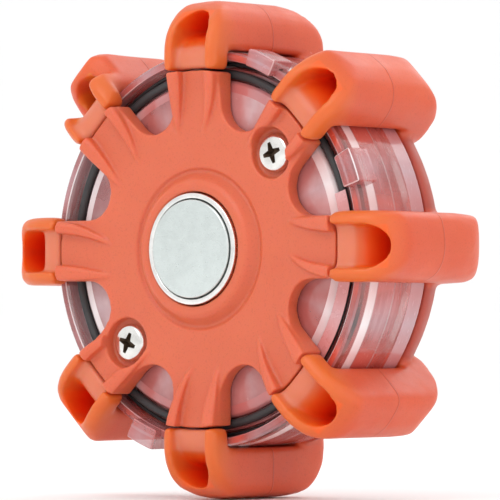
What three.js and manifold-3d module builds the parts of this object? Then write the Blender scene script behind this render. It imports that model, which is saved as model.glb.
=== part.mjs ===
// LED safety flare: a round, magnetic-backed road light inside a soft orange bumper cage with eight lugs.
// Built lying in the X-Y plane with its back towards +Z, then stood on its lower lug with the back towards -Y.
// Millimetres. Heights along Z are counted from the magnet's face, so most of them are negative.
import * as THREE from 'three';
import { mergeVertices } from 'three/addons/utils/BufferGeometryUtils.js';
import Module from 'manifold-3d';

const wasm = await Module();
wasm.setup();

// ---- driving dimensions ----
const lugCount = 8;
const overallRadius = 52;      // centre to the outer end of a lug
const backRimZ = 1.2;          // lug rims stand this much proud of the magnet
const frontEndZ = -37.6;       // front ends of the lugs
const gap = 0.3;               // clearance between neighbouring pieces

const lensRadius = 41.2;
const lensWall = 3;
const lensBackZ = -5.3;
const lensFrontZ = -27.5;
const lensFrontWall = 2;
const lensStep = 1.2;          // the back of the lens wall is thinner by this, to make room for its gasket
const lensStepZ = -9.6;

const coverRadius = 37;        // where the back cover's arms end
const coverBackZ = -2.7;       // flat of the cover around the boss
const coverArmEndZ = -1.6;     // the arms rise a little towards their ends
const coverUnderZ = -5.8;
const armHalfWidth = 6.4;

const housingRadius = 35.4;
const housingBackZ = coverUnderZ - gap;
const housingWall = 1.8;
const flangeRadius = 37.9;
const flangeZ = -8.4;
const flangeThickness = 1.8;

const magnetRadius = 11.6;
const magnetDepth = 4.6;
const screwCircle = 27.5;
const screwClockAngles = [45, 225];

const boardBackZ = -19.9;
const boardThickness = 1.6;
const boardFrontZ = boardBackZ - boardThickness;
const cellRadius = 5.25;
const cellLength = 44.5;
const cellZ = -13.4;
const cellPitch = 10.9;

const buttonRadius = 9.2;
const buttonTravel = 1.0;

// ---- colours: base colour, roughness, metalness ----
const finishes = {
  orangeRubber: [0xe2673f, 0.55, 0],
  clear: [0xe9d6d6, 0.1, 0],
  diffuser: [0xe7b3ae, 0.5, 0],
  seal: [0x3a3b3b, 0.6, 0],
  steel: [0xd8dad8, 0.25, 1],
  magnet: [0xdfe6e3, 0.35, 0.8],
  board: [0xe8ebe6, 0.5, 0],
  whitePlastic: [0xe6e4e0, 0.5, 0],
  blackPlastic: [0x1d1d1f, 0.45, 0],
  redLed: [0xd93a2a, 0.2, 0],
  whiteLed: [0xf4f0d8, 0.2, 0],
  cell: [0x2f3a44, 0.35, 0.3],
  button: [0x8f2f1c, 0.6, 0],
};

const flare = new THREE.Group();

// ---- small tools ----
function degrees(angle) {
  return THREE.MathUtils.degToRad(angle);
}

// The volume's sign tells whether a closed geometry faces outwards.
function signedVolume(geometry) {
  const index = geometry.index.array;
  const position = geometry.attributes.position;
  const corners = [new THREE.Vector3(), new THREE.Vector3(), new THREE.Vector3()];
  let sum = 0;
  for (let i = 0; i < index.length; i += 3) {
    corners.forEach((corner, k) => corner.fromBufferAttribute(position, index[i + k]));
    sum += corners[0].dot(corners[1].clone().cross(corners[2]));
  }
  return sum / 6;
}

function solidOf(source) {
  const bare = source.clone();
  bare.deleteAttribute('normal');
  bare.deleteAttribute('uv');
  const merged = mergeVertices(bare, 1e-4);
  const inwards = signedVolume(merged) < 0;
  const index = merged.index.array;
  const triangles = [];
  for (let i = 0; i < index.length; i += 3) {
    const [a, b, c] = [index[i], index[i + 1], index[i + 2]];
    if (a !== b && b !== c && a !== c) {
      triangles.push(...(inwards ? [a, c, b] : [a, b, c]));
    }
  }
  const mesh = new wasm.Mesh({
    numProp: 3,
    vertProperties: new Float32Array(merged.attributes.position.array),
    triVerts: new Uint32Array(triangles),
  });
  return new wasm.Manifold(mesh);
}

function geometryOf(solid) {
  const mesh = solid.getMesh();
  const geometry = new THREE.BufferGeometry();
  geometry.setAttribute('position', new THREE.BufferAttribute(new Float32Array(mesh.vertProperties), 3));
  geometry.setIndex(new THREE.BufferAttribute(new Uint32Array(mesh.triVerts), 1));
  return geometry;
}

function joined(solids) {
  return solids.reduce((sum, solid) => sum.add(solid));
}

// An outline in X-Y, extruded between two heights.
function slab(shape, lowZ, highZ, curveSegments = 12) {
  const geometry = new THREE.ExtrudeGeometry(shape, { depth: highZ - lowZ, bevelEnabled: false, curveSegments });
  return geometry.translate(0, 0, lowZ);
}

function block(xs, ys, zs) {
  const geometry = new THREE.BoxGeometry(xs[1] - xs[0], ys[1] - ys[0], zs[1] - zs[0]);
  return geometry.translate((xs[0] + xs[1]) / 2, (ys[0] + ys[1]) / 2, (zs[0] + zs[1]) / 2);
}

// A closed profile of [radius, height] points, turned about Z.
function turned(profile, segments = 60) {
  const points = profile.map(([radius, z]) => new THREE.Vector2(radius, z));
  if (profile[0][0] > 0 || profile[profile.length - 1][0] > 0) {
    points.push(points[0].clone());
  }
  return new THREE.LatheGeometry(points, segments).rotateX(Math.PI / 2).rotateZ(Math.PI / segments);
}

function rod(radius, lowZ, highZ, segments = 24) {
  return turned([[0, lowZ], [radius, lowZ], [radius, highZ], [0, highZ]], segments);
}

// Turns a piece made at twelve o'clock to another clock angle, clockwise as seen from the back.
function atClock(geometry, clockAngle) {
  return geometry.clone().rotateZ(-degrees(clockAngle));
}

function lugAngle(i) {
  return (360 / lugCount) * i;
}

function addPart(name, shape, finish) {
  const geometry = shape.isBufferGeometry ? geometryOf(solidOf(shape)) : geometryOf(shape);
  geometry.computeVertexNormals();
  const [color, roughness, metalness] = finishes[finish];
  const mesh = new THREE.Mesh(geometry, new THREE.MeshStandardMaterial({ color, roughness, metalness }));
  mesh.name = name;
  flare.add(mesh);
}

// ---- bumper cage: front ring and star, with eight hollow lugs that wrap over the lens to the back ----
const lugHalfWidth = 7.2;
const lugInnerRadius = coverRadius + 0.4;
const lugNoseUnderZ = lensBackZ + gap;
const lugEdgeRound = 1.4;
const cageInnerRadius = lensRadius + gap;
const cageFrontZ = lensFrontZ - gap;
const mouthHalfWidth = 4.4;
const mouthInnerRadius = 41.5;
const mouthOuterRadius = 49.4;
const mouthFloorZ = -20;
const mouthArch = 4.6;            // height of the mouth's rounded outer end
const innerWallTopZ = -1.2;
const hubRadius = 16;
const ringRadius = lensRadius;
const ringFrontZ = -33.5;

// Outer end of a lug seen from the back, between its counter-clockwise and clockwise edges: the clockwise
// corner is the rounder one.
function lugEndOutline(ccwEdge, cwEdge, innerRadius, outerRadius, cwCorner, ccwCorner) {
  const shape = new THREE.Shape();
  const shoulder = outerRadius - 0.5;
  const middle = (ccwEdge + cwEdge) / 2;
  shape.moveTo(ccwEdge, innerRadius);
  shape.lineTo(cwEdge, innerRadius);
  shape.lineTo(cwEdge, shoulder - cwCorner);
  shape.quadraticCurveTo(cwEdge, shoulder, Math.max(cwEdge - cwCorner, middle), outerRadius);
  shape.lineTo(middle - 0.5, outerRadius);
  shape.lineTo(ccwEdge + ccwCorner, shoulder);
  shape.quadraticCurveTo(ccwEdge, shoulder, ccwEdge, shoulder - ccwCorner);
  shape.closePath();
  return shape;
}

// The front end seen along the radius: width along X and height along Y of the shape.
function lugFrontOutline(ccwEdge, cwEdge) {
  const shape = new THREE.Shape();
  const corner = 3.4;
  shape.moveTo(ccwEdge, 5);
  shape.lineTo(ccwEdge, frontEndZ + corner);
  shape.quadraticCurveTo(ccwEdge, frontEndZ, ccwEdge + corner, frontEndZ);
  shape.lineTo(cwEdge - corner, frontEndZ);
  shape.quadraticCurveTo(cwEdge, frontEndZ, cwEdge, frontEndZ + corner);
  shape.lineTo(cwEdge, 5);
  shape.closePath();
  return shape;
}

// Side view of a lug: radius along X and height along Y of the shape.
function lugSideOutline(outerRadius) {
  const shape = new THREE.Shape();
  const frontCorner = 10.8;
  const wallRadius = cageInnerRadius - 1;
  const noseRadius = lugInnerRadius - 1;
  const toeRadius = 35.6;
  shape.moveTo(noseRadius, backRimZ);
  shape.lineTo(42, backRimZ);
  shape.bezierCurveTo(46.5, backRimZ - 0.2, 51.5, -3.5, outerRadius, -9);
  shape.lineTo(outerRadius, frontEndZ + frontCorner);
  shape.absarc(outerRadius - frontCorner, frontEndZ + frontCorner, frontCorner, 0, -Math.PI / 2, true);
  shape.lineTo(toeRadius + 5, frontEndZ);
  shape.quadraticCurveTo(toeRadius + 2, frontEndZ, toeRadius, cageFrontZ - 4.3);
  shape.lineTo(toeRadius, cageFrontZ);
  shape.lineTo(wallRadius, cageFrontZ);
  shape.lineTo(wallRadius, lugNoseUnderZ);
  shape.lineTo(noseRadius, lugNoseUnderZ);
  shape.closePath();
  return shape;
}

// Shapes drawn in the side view are extruded across the lug, whose width runs along X at twelve o'clock.
function acrossLug(shape, halfWidth, edgeRound) {
  const geometry = new THREE.ExtrudeGeometry(shape, {
    depth: 2 * (halfWidth - edgeRound),
    bevelEnabled: edgeRound > 0,
    bevelThickness: edgeRound,
    bevelSize: edgeRound,
    bevelOffset: -edgeRound,
    bevelSegments: 1,
    curveSegments: 5,
  });
  geometry.translate(0, 0, edgeRound - halfWidth);
  const sideView = new THREE.Matrix4().makeBasis(
    new THREE.Vector3(0, 1, 0), new THREE.Vector3(0, 0, 1), new THREE.Vector3(1, 0, 0));
  return geometry.applyMatrix4(sideView);
}

// The hollow of a lug: a low bar near the cover, then a scoop that falls steeply towards the outer wall.
function lugMouth() {
  const side = new THREE.Shape();
  side.moveTo(30, 5);
  side.lineTo(30, innerWallTopZ);
  side.lineTo(mouthInnerRadius - 1.6, innerWallTopZ);
  side.bezierCurveTo(mouthInnerRadius + 0.8, innerWallTopZ, 43.9, -4.2, 44.6, -9);
  side.lineTo(45.4, mouthFloorZ);
  side.lineTo(mouthOuterRadius, mouthFloorZ);
  side.lineTo(mouthOuterRadius, 5);
  side.closePath();
  const end = new THREE.Shape();
  end.moveTo(-mouthHalfWidth, 25);
  end.lineTo(mouthHalfWidth, 25);
  end.absellipse(0, mouthOuterRadius - mouthArch, mouthHalfWidth, mouthArch, 0, Math.PI, false, 0);
  end.closePath();
  return solidOf(acrossLug(side, mouthHalfWidth + 1, 0)).intersect(solidOf(slab(end, -30, 9, 7)));
}

// The hook lug is a little larger. Its rails end as two round-nosed horns, a slot behind the horns opens to
// the counter-clockwise side, and the outer wall's rim arches back on both sides.
const hookExtraRadius = 0.8;
const hookExtraWidth = 1.4;
const hookEdgeRound = 2.3;
const hornRadius = 3.4;
const hornCentre = [41.5, backRimZ - hornRadius];
const hornOuter = hornCentre[0] + hornRadius;

function hookSlot() {
  const slotOuter = 48.8;
  const slotFloor = -7;
  const slotMiddle = (hornOuter + slotOuter) / 2;
  const side = new THREE.Shape();
  side.moveTo(hornCentre[0], 8);
  side.lineTo(hornCentre[0], backRimZ);
  side.absarc(hornCentre[0], hornCentre[1], hornRadius, Math.PI / 2, 0, true);
  side.lineTo(hornOuter, slotFloor);
  side.absarc(slotMiddle, slotFloor, slotMiddle - hornOuter, Math.PI, 2 * Math.PI, false);
  side.lineTo(slotOuter, 8);
  side.closePath();
  const end = new THREE.Shape();
  end.moveTo(-9, 36);
  end.lineTo(mouthHalfWidth + 0.6, 36);
  end.lineTo(mouthHalfWidth + 0.6, 45);
  end.quadraticCurveTo(mouthHalfWidth + 0.6, slotOuter, 1, slotOuter + 0.2);
  end.lineTo(-9, slotOuter + 0.2);
  end.closePath();
  return solidOf(acrossLug(side, 10, 0)).intersect(solidOf(slab(end, -30, 9, 5)));
}

function hookRimCut() {
  const crest = 2.5;
  const crestZ = -4.4;
  const fall = 0.07;
  const shape = new THREE.Shape();
  shape.moveTo(-10, 9);
  for (let x = -10; x <= 10; x += 2.5) {
    shape.lineTo(x, crestZ - fall * (x - crest) ** 2);
  }
  shape.lineTo(10, 9);
  shape.closePath();
  return solidOf(slab(shape, -60, -hornOuter, 1).rotateX(Math.PI / 2));
}

function lug(isHook) {
  const extraWidth = isHook ? hookExtraWidth : 0;
  const outerRadius = overallRadius + (isHook ? hookExtraRadius : 0);
  const edgeRound = isHook ? hookEdgeRound : lugEdgeRound;
  const body = solidOf(acrossLug(lugSideOutline(outerRadius), lugHalfWidth + extraWidth / 2, edgeRound)
    .translate(extraWidth / 2, 0, 0));
  const edges = [-lugHalfWidth - 0.1, lugHalfWidth + extraWidth + 0.1];
  const corners = isHook ? [2.6, 6.4] : [7.6, 3.4];
  const ends = solidOf(slab(lugEndOutline(...edges, 30, outerRadius, ...corners), -40, 5, 4));
  const front = solidOf(slab(lugFrontOutline(...edges), -60, -30, 3).rotateX(Math.PI / 2));
  const whole = body.intersect(ends).intersect(front).subtract(lugMouth());
  return geometryOf(isHook ? whole.subtract(hookSlot()).subtract(hookRimCut()) : whole);
}

// One opening between two arms of a star: a round inner end, and sides parallel to the arms beside it.
function starWindow(centreRadius, armHalf, outerRadius) {
  const half = Math.PI / lugCount;
  const round = centreRadius * Math.sin(half) - armHalf;
  const shape = new THREE.Shape();
  const side = new THREE.Vector2(Math.sin(half), Math.cos(half));
  const length = (outerRadius - centreRadius) / Math.cos(half);
  const right = new THREE.Vector2(round * Math.cos(half), centreRadius - round * Math.sin(half));
  shape.moveTo(right.x + side.x * length, right.y + side.y * length);
  shape.lineTo(right.x, right.y);
  shape.absarc(0, centreRadius, round, -half, Math.PI + half, true);
  shape.lineTo(-right.x - side.x * length, right.y + side.y * length);
  shape.closePath();
  return shape;
}

function starWindows(centreRadius, armHalf, outerRadius, lowZ, highZ) {
  const cut = slab(starWindow(centreRadius, armHalf, outerRadius), lowZ, highZ, 6);
  const solids = [];
  for (let i = 0; i < lugCount; i += 1) {
    solids.push(solidOf(atClock(cut, lugAngle(i + 0.5))));
  }
  return joined(solids);
}

// The front of the cage: a deep ring that carries on the lens's side, and a star of arms with a hub in it.
function cageFront() {
  const armFrontZ = cageFrontZ - 3.6;
  const hubFrontZ = cageFrontZ - 4.6;
  const plate = solidOf(turned([
    [buttonRadius + 0.5, cageFrontZ], [ringRadius, cageFrontZ], [ringRadius, ringFrontZ + 4],
    [ringRadius - 0.8, ringFrontZ + 1.4], [ringRadius - 2.2, ringFrontZ], [ringRadius - 4.6, ringFrontZ],
    [ringRadius - 6, armFrontZ], [hubRadius, armFrontZ], [hubRadius - 2, hubFrontZ],
    [buttonRadius + 0.5, hubFrontZ],
  ]));
  const ringInner = solidOf(rod(36.6, ringFrontZ - 1, cageFrontZ + 1, 64));
  const windows = starWindows(29, 5.2, 44, ringFrontZ - 1, cageFrontZ + 1);
  return plate.subtract(windows.intersect(ringInner));
}

function bumperCage() {
  const solids = [cageFront()];
  for (let i = 0; i < lugCount; i += 1) {
    const isHook = i === lugCount - 1;
    solids.push(solidOf(atClock(lug(isHook), lugAngle(i))));
  }
  const coverSpace = solidOf(rod(lugInnerRadius, lugNoseUnderZ - 1, 10, 64));
  const lensSpace = solidOf(rod(cageInnerRadius, cageFrontZ, lugNoseUnderZ, 64));
  addPart('bumper_cage', joined(solids).subtract(coverSpace).subtract(lensSpace), 'orangeRubber');
}

// ---- back cover: a star with a boss for the magnet, two screw recesses and paired ridges on each arm ----
const ridgeTipRadius = 23.6;

// A closed skin over a row of equal-sized point rings.
function loft(rings) {
  const size = rings[0].length;
  const points = rings.flat();
  const triangles = [];
  for (let j = 0; j < rings.length - 1; j += 1) {
    for (let i = 0; i < size; i += 1) {
      const next = (i + 1) % size;
      const [a, b, c, d] = [j * size + i, j * size + next, (j + 1) * size + i, (j + 1) * size + next];
      triangles.push(a, b, d, a, d, c);
    }
  }
  const last = (rings.length - 1) * size;
  for (let i = 1; i < size - 1; i += 1) {
    triangles.push(0, i + 1, i, last, last + i, last + i + 1);
  }
  const geometry = new THREE.BufferGeometry();
  geometry.setAttribute('position', new THREE.Float32BufferAttribute(points.flatMap((p) => [p.x, p.y, p.z]), 3));
  geometry.setIndex(triangles);
  return geometry;
}

// A ridge starts as a point near the boss and rises and widens to the arm's end. Its two edges are given
// as [at the tip, at the end] offsets across the arm.
function ridge(innerEdge, outerEdge) {
  const steps = 5;
  const rootZ = coverUnderZ + 1.5;
  const rings = [];
  for (let k = 0; k <= steps; k += 1) {
    const s = k / steps;
    const bend = (1 - s) ** 2;
    const inner = innerEdge[1] + (innerEdge[0] - innerEdge[1]) * bend;
    const outer = outerEdge[1] + (outerEdge[0] - outerEdge[1]) * bend;
    const radius = ridgeTipRadius + (coverRadius + 1 - ridgeTipRadius) * s;
    const topZ = coverBackZ + (backRimZ - coverBackZ) * s ** 0.8;
    const shoulder = (outer - inner) * 0.28;
    const section = [[inner, rootZ], [inner, topZ - 0.5 * s - 0.05], [inner + shoulder, topZ],
      [outer - shoulder, topZ], [outer, topZ - 0.5 * s - 0.05], [outer, rootZ]];
    rings.push(section.map(([across, z]) => new THREE.Vector3(across, radius, z)));
  }
  return loft(rings);
}

function screwRecess() {
  const recessFloorZ = -4.6;
  return joined([
    solidOf(rod(5.3, recessFloorZ, 6, 32).translate(0, screwCircle, 0)),
    solidOf(rod(1.9, -10, 0, 16).translate(0, screwCircle, 0)),
  ]);
}

function rearCover() {
  const bossTopZ = -0.9;
  const body = solidOf(turned([
    [0, coverUnderZ], [coverRadius, coverUnderZ], [coverRadius, coverArmEndZ], [24, coverBackZ],
    [16.9, coverBackZ], [16.5, -3.3], [15.9, -3.4], [14.4, -1.4], [13.6, bossTopZ],
    [magnetRadius + gap, bossTopZ], [magnetRadius + gap, -magnetDepth - gap], [0, -magnetDepth - gap],
  ], 64));
  const ridges = [];
  for (let i = 0; i < lugCount; i += 1) {
    ridges.push(solidOf(atClock(ridge([0.9, 3.8], [1.5, 6.4]), lugAngle(i))));
    ridges.push(solidOf(atClock(ridge([-5.8, -6.3], [-5.2, -3.0]), lugAngle(i))));
  }
  const rim = solidOf(rod(coverRadius, coverUnderZ, 10, 64));
  const windows = starWindows(32.4, armHalfWidth, 46, coverUnderZ - 1, 8);
  let cover = joined([body, ...ridges]).intersect(rim).subtract(windows);
  for (const angle of screwClockAngles) {
    cover = cover.subtract(solidOf(atClock(geometryOf(screwRecess()), angle)));
  }
  addPart('rear_cover', cover, 'orangeRubber');
}

// ---- magnet: a round bar magnet in a plated steel cup ----
function magnet() {
  const cupWall = 1.2;
  const discRadius = magnetRadius - cupWall - 0.15;
  const rimZ = -0.45;
  addPart('magnet_cup', turned([
    [0, -magnetDepth], [magnetRadius, -magnetDepth], [magnetRadius, rimZ - 0.4], [magnetRadius - 0.4, rimZ],
    [magnetRadius - cupWall, rimZ], [magnetRadius - cupWall, -magnetDepth + 1], [0, -magnetDepth + 1],
  ], 48), 'steel');
  addPart('magnet_disc', turned([
    [0, -magnetDepth + 1.15], [discRadius, -magnetDepth + 1.15], [discRadius, -0.35], [discRadius - 0.35, 0], [0, 0],
  ], 48), 'magnet');
}

// ---- cross-recessed pan-head screws that hold the cover to the housing ----
function screwHead() {
  const seatZ = -4.5;
  const crownZ = -2.7;
  const head = solidOf(turned([
    [0, seatZ - 9], [1.4, seatZ - 8.4], [1.4, seatZ], [4, seatZ], [4.05, seatZ + 0.7],
    [3.4, crownZ - 0.35], [2, crownZ - 0.05], [0, crownZ],
  ], 28));
  const cross = [[0.45, 2.1], [2.1, 0.45]].map(([x, y]) => solidOf(block([-x, x], [-y, y], [-4, 0])));
  return geometryOf(head.subtract(joined(cross)));
}

function screws() {
  screwClockAngles.forEach((angle, i) => {
    const screw = screwHead().rotateZ(degrees(18 + 50 * i)).translate(0, screwCircle, 0);
    addPart(`rear_screw_${i + 1}`, atClock(screw, angle), 'steel');
  });
}

// ---- clear back housing: a dish with a flange, standing on two screw posts ----
function rearHousing() {
  const wallInner = housingRadius - housingWall;
  const dish = solidOf(turned([
    [0, housingBackZ], [housingRadius - 1, housingBackZ], [housingRadius, housingBackZ - 1],
    [housingRadius, flangeZ], [flangeRadius, flangeZ], [flangeRadius, flangeZ - flangeThickness],
    [wallInner, flangeZ - flangeThickness], [wallInner, housingBackZ - housingWall],
    [0, housingBackZ - housingWall],
  ]));
  const posts = [];
  const holes = [];
  for (const angle of screwClockAngles) {
    posts.push(solidOf(atClock(rod(3.2, -17, housingBackZ - 1, 20).translate(0, screwCircle, 0), angle)));
    holes.push(solidOf(atClock(rod(1.7, -14.5, 0, 16).translate(0, screwCircle, 0), angle)));
  }
  addPart('rear_housing', joined([dish, ...posts]).subtract(joined(holes)), 'clear');
}

function ringSection(radius, z, thickness, sides) {
  const profile = [];
  for (let i = 0; i < sides; i += 1) {
    const angle = (2 * Math.PI * (i + 0.5)) / sides;
    profile.push([radius + thickness * Math.cos(angle), z + thickness * Math.sin(angle)]);
  }
  return turned(profile, 48);
}

function seals() {
  addPart('seal_ring', ringSection(36.6, -7.1, 0.9, 7), 'seal');
  addPart('groove_gasket', ringSection(38.65, -8.9, 0.45, 5), 'seal');
}

// ---- clear front lens: a cup with three proud locking tabs on its back edge, the first one smaller ----
const tabs = [
  { clockAngle: 22.5, outerRadius: 43.2 },
  { clockAngle: 67.5, outerRadius: 43.9 },
  { clockAngle: 202.5, outerRadius: 43.9 },
];
const tabBackZ = -3.2;

// A sector of a ring, centred on twelve o'clock.
function ringSector(innerRadius, outerRadius, halfAngle) {
  const shape = new THREE.Shape();
  const start = Math.PI / 2 + halfAngle;
  const end = Math.PI / 2 - halfAngle;
  shape.absarc(0, 0, outerRadius, start, end, true);
  shape.absarc(0, 0, innerRadius, end, start, false);
  shape.closePath();
  return shape;
}

function frontLens() {
  const inner = lensRadius - lensWall;
  const innerFrontZ = lensFrontZ + lensFrontWall;
  const stemHole = 2.9;
  const cup = solidOf(turned([
    [inner + lensStep, lensBackZ], [lensRadius - 0.5, lensBackZ], [lensRadius, lensBackZ - 0.5],
    [lensRadius, lensFrontZ + 0.8], [lensRadius - 0.6, lensFrontZ], [stemHole, lensFrontZ],
    [stemHole, innerFrontZ], [inner - 1.5, innerFrontZ], [inner, innerFrontZ + 1.5], [inner, lensStepZ],
    [inner + lensStep, lensStepZ],
  ], 64));
  const half = degrees(5);
  const tabSolids = tabs.map(({ clockAngle, outerRadius }) => {
    const tab = slab(ringSector(inner + lensStep + 0.05, outerRadius, half), lensStepZ, tabBackZ, 3);
    return solidOf(atClock(tab, clockAngle));
  });
  addPart('front_lens', joined([cup, ...tabSolids]), 'clear');
}

// ---- inside: diffuser, circuit board, lights, switch, batteries ----
function diffuserRing() {
  const backZ = flangeZ - flangeThickness - gap;
  const frontZ = lensFrontZ + lensFrontWall + gap;
  const outer = lensRadius - lensWall - gap;
  const inner = outer - 1.4;
  const section = [[inner, backZ], [outer, backZ], [outer, frontZ + 1], [outer - 1, frontZ], [inner, frontZ]];
  addPart('diffuser_ring', turned(section, 56), 'diffuser');
}

function circuitBoard() {
  addPart('circuit_board', rod(36, boardFrontZ, boardBackZ, 48), 'board');
}

function ledGeometry(radius, height) {
  const baseZ = boardFrontZ - gap;
  return turned([
    [0, baseZ], [radius, baseZ], [radius, baseZ - height * 0.45], [radius * 0.8, baseZ - height * 0.8],
    [radius * 0.4, baseZ - height], [0, baseZ - height],
  ], 12);
}

function lights() {
  const rimLeds = 12;
  for (let i = 0; i < rimLeds; i += 1) {
    const led = ledGeometry(1.6, 1.9).translate(0, 33, 0);
    const name = `rim_led_${String(i + 1).padStart(2, '0')}`;
    addPart(name, atClock(led, (360 / rimLeds) * (i + 0.5)), 'redLed');
  }
  const torchLeds = 4;
  for (let i = 0; i < torchLeds; i += 1) {
    const led = ledGeometry(2.4, 2.4).translate(0, 21, 0);
    addPart(`torch_led_${i + 1}`, atClock(led, (360 / torchLeds) * (i + 0.5)), 'whiteLed');
  }
}

const switchTopZ = -24.1;
const plungerTopZ = switchTopZ - buttonTravel;

function tactSwitch() {
  const baseZ = boardFrontZ - gap;
  const body = solidOf(block([-3, 3], [-3, 3], [switchTopZ, baseZ]));
  const well = solidOf(rod(2, switchTopZ - 1, baseZ - 0.4, 20));
  addPart('switch_body', body.subtract(well), 'blackPlastic');
  addPart('switch_plunger', rod(1.7, plungerTopZ, baseZ - 0.4 - buttonTravel - gap, 20), 'whitePlastic');
}

function powerButton() {
  const capBackZ = cageFrontZ - 1 - buttonTravel;
  const domeZ = cageFrontZ - 5.4;
  const stemBackZ = plungerTopZ - gap;
  addPart('power_button', turned([
    [0, stemBackZ], [2.4, stemBackZ], [2.4, capBackZ], [buttonRadius, capBackZ],
    [buttonRadius, domeZ + 1], [buttonRadius - 1.2, domeZ], [4, domeZ - 0.6], [0, domeZ - 0.8],
  ], 40), 'button');
}

function batteries() {
  for (let i = 0; i < 3; i += 1) {
    const body = turned([
      [0, -cellLength / 2], [cellRadius - 0.4, -cellLength / 2], [cellRadius, -cellLength / 2 + 0.4],
      [cellRadius, cellLength / 2 - 1.4], [cellRadius - 0.5, cellLength / 2 - 0.9],
      [1.9, cellLength / 2 - 0.9], [1.9, cellLength / 2], [0, cellLength / 2],
    ], 20);
    const way = i % 2 === 0 ? 1 : -1;
    body.rotateY((way * Math.PI) / 2).translate(0, (i - 1) * cellPitch, cellZ);
    addPart(`battery_${i + 1}`, body, 'cell');
  }
}

function batteryTray() {
  const halfLength = 25.2;
  const halfWidth = 15.9;
  const wall = 1.2;
  const floorZ = boardBackZ + gap;
  const outer = solidOf(block([-halfLength, halfLength], [-halfWidth, halfWidth], [floorZ, -10]));
  const inner = solidOf(block([wall - halfLength, halfLength - wall], [-30, 30], [floorZ + 0.6, 0]));
  addPart('battery_tray', outer.subtract(inner), 'blackPlastic');
}

function contactPlates() {
  const ends = [-1, 1];
  let number = 1;
  for (const end of ends) {
    for (const row of [-1, 1]) {
      const near = cellLength / 2 + 0.35;
      const xs = end > 0 ? [near, near + 0.5] : [-near - 0.5, -near];
      const middle = row * cellPitch * 0.75;
      const half = end * row > 0 ? 3.6 : 6.6;
      addPart(`contact_plate_${number}`, block(xs, [middle - half, middle + half], [-18.4, -10.5]), 'steel');
      number += 1;
    }
  }
}

bumperCage();
rearCover();
magnet();
screws();
rearHousing();
seals();
frontLens();
diffuserRing();
circuitBoard();
lights();
tactSwitch();
powerButton();
batteries();
batteryTray();
contactPlates();

// Stands the flare on its lower lug, with the middle of its thickness over the origin.
flare.rotation.x = Math.PI / 2;
flare.position.set(0, (backRimZ + frontEndZ) / 2, overallRadius);

const root = new THREE.Group();
root.add(flare);
export default root;
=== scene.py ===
import math

import bmesh
import bpy
from mathutils import Matrix, Vector


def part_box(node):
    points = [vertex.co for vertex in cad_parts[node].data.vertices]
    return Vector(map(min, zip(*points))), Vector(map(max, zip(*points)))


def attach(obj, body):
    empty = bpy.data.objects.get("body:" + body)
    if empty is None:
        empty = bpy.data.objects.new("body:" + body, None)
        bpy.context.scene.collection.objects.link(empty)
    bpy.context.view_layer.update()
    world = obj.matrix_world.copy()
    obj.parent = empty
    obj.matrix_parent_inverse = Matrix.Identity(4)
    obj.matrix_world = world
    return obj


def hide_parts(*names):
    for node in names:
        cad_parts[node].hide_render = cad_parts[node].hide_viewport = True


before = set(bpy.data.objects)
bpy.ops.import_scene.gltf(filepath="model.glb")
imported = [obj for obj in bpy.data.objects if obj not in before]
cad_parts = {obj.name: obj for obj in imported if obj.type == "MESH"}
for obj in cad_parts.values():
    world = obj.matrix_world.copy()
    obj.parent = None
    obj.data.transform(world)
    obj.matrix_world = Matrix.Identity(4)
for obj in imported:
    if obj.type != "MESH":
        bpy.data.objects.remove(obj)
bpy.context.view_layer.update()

# ---------------------------------------------------------------- places
# Sizes are in millimetres. Depth runs forward from the magnet's face, right and up are as seen from behind,
# and clock angles are in degrees, clockwise from twelve as seen from behind.
MM = 0.001
FORWARD = Vector((0, 1, 0))
FACE_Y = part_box("magnet_disc")[0].y
CAGE_LOW, CAGE_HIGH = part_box("bumper_cage")
AXIS_Z = (CAGE_LOW.z + CAGE_HIGH.z) / 2


def place(right, up, depth):
    return Vector((right * MM, FACE_Y + depth * MM, AXIS_Z + up * MM))


def where(point):
    """The right, up and depth of a point."""
    return point.x / MM, (point.z - AXIS_Z) / MM, (point.y - FACE_Y) / MM


def clock(angle, radius, across=0.0):
    a = math.radians(angle)
    return (radius * math.sin(a) + across * math.cos(a), radius * math.cos(a) - across * math.sin(a))


def clock_place(angle, radius, depth, across=0.0):
    right, up = clock(angle, radius, across)
    return place(right, up, depth)


def direction(turn, rise):
    """Outwards from the flare, in degrees: turn is from straight behind to the right, rise is upwards."""
    a, e = math.radians(turn), math.radians(rise)
    return Vector((math.sin(a) * math.cos(e), -math.cos(a) * math.cos(e), math.sin(e)))


MIDDLE = place(0, 0, 0)
BOARD_FRONT = where(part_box("circuit_board")[1])[2]
BUTTON_BACK, BUTTON_FRONT = (where(corner)[2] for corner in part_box("power_button"))

# Radii and depths of the clear parts and of the seals between them.
LENS_RADIUS = 41.2
LENS_FRONT = 27.5
HOUSING_RADIUS = 37.85
HOUSING_BACK = 6.1
SEAL_RADIUS, SEAL_DEPTH, SEAL_THICK = 36.6, 7.1, 0.88
GASKET_RADIUS, GASKET_DEPTH, GASKET_THICK = 38.65, 8.9, 0.43


# ---------------------------------------------------------------- mesh tools
def dress(piece, material):
    piece.data.materials.clear()
    piece.data.materials.append(material)


def add_object(name, mesh, material, replaces=(), body="flare"):
    piece = bpy.data.objects.new(name, mesh)
    bpy.context.scene.collection.objects.link(piece)
    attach(piece, body)
    if replaces:
        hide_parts(*replaces)
    dress(piece, material)
    return piece


def mark_faces(piece, material, test):
    """Gives the material to the faces for which test(polygon) is true."""
    piece.data.materials.append(material)
    index = len(piece.data.materials) - 1
    for polygon in piece.data.polygons:
        if test(polygon):
            polygon.material_index = index


def in_ring(polygon, inner, outer, near, far):
    """Whether the middle of a face lies between two radii and two depths."""
    right, up, depth = where(polygon.center)
    return inner <= math.hypot(right, up) <= outer and near <= depth <= far


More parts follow.
